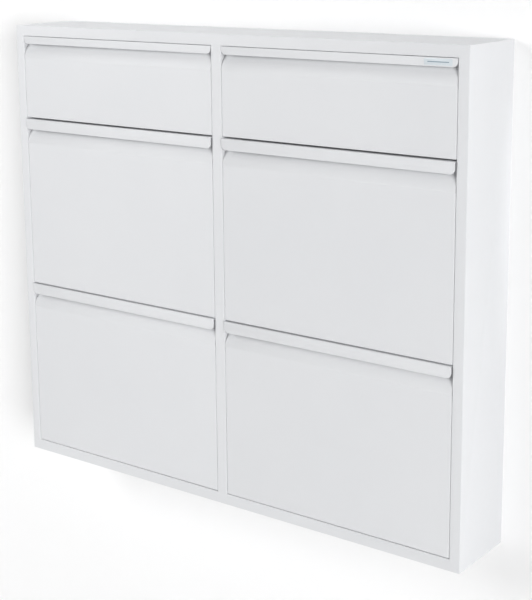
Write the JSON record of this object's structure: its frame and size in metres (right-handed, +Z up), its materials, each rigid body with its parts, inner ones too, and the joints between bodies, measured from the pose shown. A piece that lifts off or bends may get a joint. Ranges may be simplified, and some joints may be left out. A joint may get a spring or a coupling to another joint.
{
  "type": "shoe cabinet",
  "caption": "Slim wall-hung sheet-steel shoe cabinet with columns of tip-out flaps, each opened by a folded lip along its top edge.",
  "frame": {"origin": "centre of the flat back face, where the cabinet lies against the wall", "axes": "+X to the right seen from the room, -Y out of the wall into the room, +Y into the wall, +Z up"},
  "size_m": [1.18, 0.18, 1.03],
  "materials": {
    "coat": "fine satin powder coat",
    "zinc": "zinc plated",
    "rubber": "matte",
    "badge": "gloss"
  },
  "bodies": {
    "case": {"left_side_panel": "coat", "right_side_panel": "coat", "top_panel": "coat", "bottom_panel": "coat", "centre_post": "coat", "centre_partition": "coat", "back_panel": "coat", "hanging_bracket_left": "zinc", "hanging_bracket_right": "zinc", "top_left_bumper": "rubber", "top_right_bumper": "rubber", "middle_left_bumper": "rubber", "middle_right_bumper": "rubber", "bottom_left_bumper": "rubber", "bottom_right_bumper": "rubber"},
    "top_left_flap": {"top_left_front": "coat", "top_left_left_cheek": "coat", "top_left_left_pin": "zinc", "top_left_right_cheek": "coat", "top_left_right_pin": "zinc", "top_left_tray": "coat"},
    "top_right_flap": {"top_right_front": "coat", "top_right_left_cheek": "coat", "top_right_left_pin": "zinc", "top_right_right_cheek": "coat", "top_right_right_pin": "zinc", "top_right_tray": "coat", "badge": "badge"},
    "middle_left_flap": {"middle_left_front": "coat", "middle_left_left_cheek": "coat", "middle_left_left_pin": "zinc", "middle_left_right_cheek": "coat", "middle_left_right_pin": "zinc", "middle_left_tray": "coat", "middle_left_guard": "coat"},
    "middle_right_flap": {"middle_right_front": "coat", "middle_right_left_cheek": "coat", "middle_right_left_pin": "zinc", "middle_right_right_cheek": "coat", "middle_right_right_pin": "zinc", "middle_right_tray": "coat", "middle_right_guard": "coat"},
    "bottom_left_flap": {"bottom_left_front": "coat", "bottom_left_left_cheek": "coat", "bottom_left_left_pin": "zinc", "bottom_left_right_cheek": "coat", "bottom_left_right_pin": "zinc", "bottom_left_tray": "coat", "bottom_left_guard": "coat"},
    "bottom_right_flap": {"bottom_right_front": "coat", "bottom_right_left_cheek": "coat", "bottom_right_left_pin": "zinc", "bottom_right_right_cheek": "coat", "bottom_right_right_pin": "zinc", "bottom_right_tray": "coat", "bottom_right_guard": "coat"}
  },
  "joints": [
    {"name": "top_left_hinge", "type": "hinge", "parent": "case", "child": "top_left_flap", "pos_m": [-0.28975, -0.168, 0.32675], "axis": [1, 0, 0], "range_deg": [0, 42]},
    {"name": "top_right_hinge", "type": "hinge", "parent": "case", "child": "top_right_flap", "pos_m": [0.28975, -0.168, 0.32675], "axis": [1, 0, 0], "range_deg": [0, 42]},
    {"name": "middle_left_hinge", "type": "hinge", "parent": "case", "child": "middle_left_flap", "pos_m": [-0.28975, -0.168, -0.0695], "axis": [1, 0, 0], "range_deg": [0, 42]},
    {"name": "middle_right_hinge", "type": "hinge", "parent": "case", "child": "middle_right_flap", "pos_m": [0.28975, -0.168, -0.0695], "axis": [1, 0, 0], "range_deg": [0, 42]},
    {"name": "bottom_left_hinge", "type": "hinge", "parent": "case", "child": "bottom_left_flap", "pos_m": [-0.28975, -0.168, -0.4645], "axis": [1, 0, 0], "range_deg": [0, 42]},
    {"name": "bottom_right_hinge", "type": "hinge", "parent": "case", "child": "bottom_right_flap", "pos_m": [0.28975, -0.168, -0.4645], "axis": [1, 0, 0], "range_deg": [0, 42]}
  ]
}
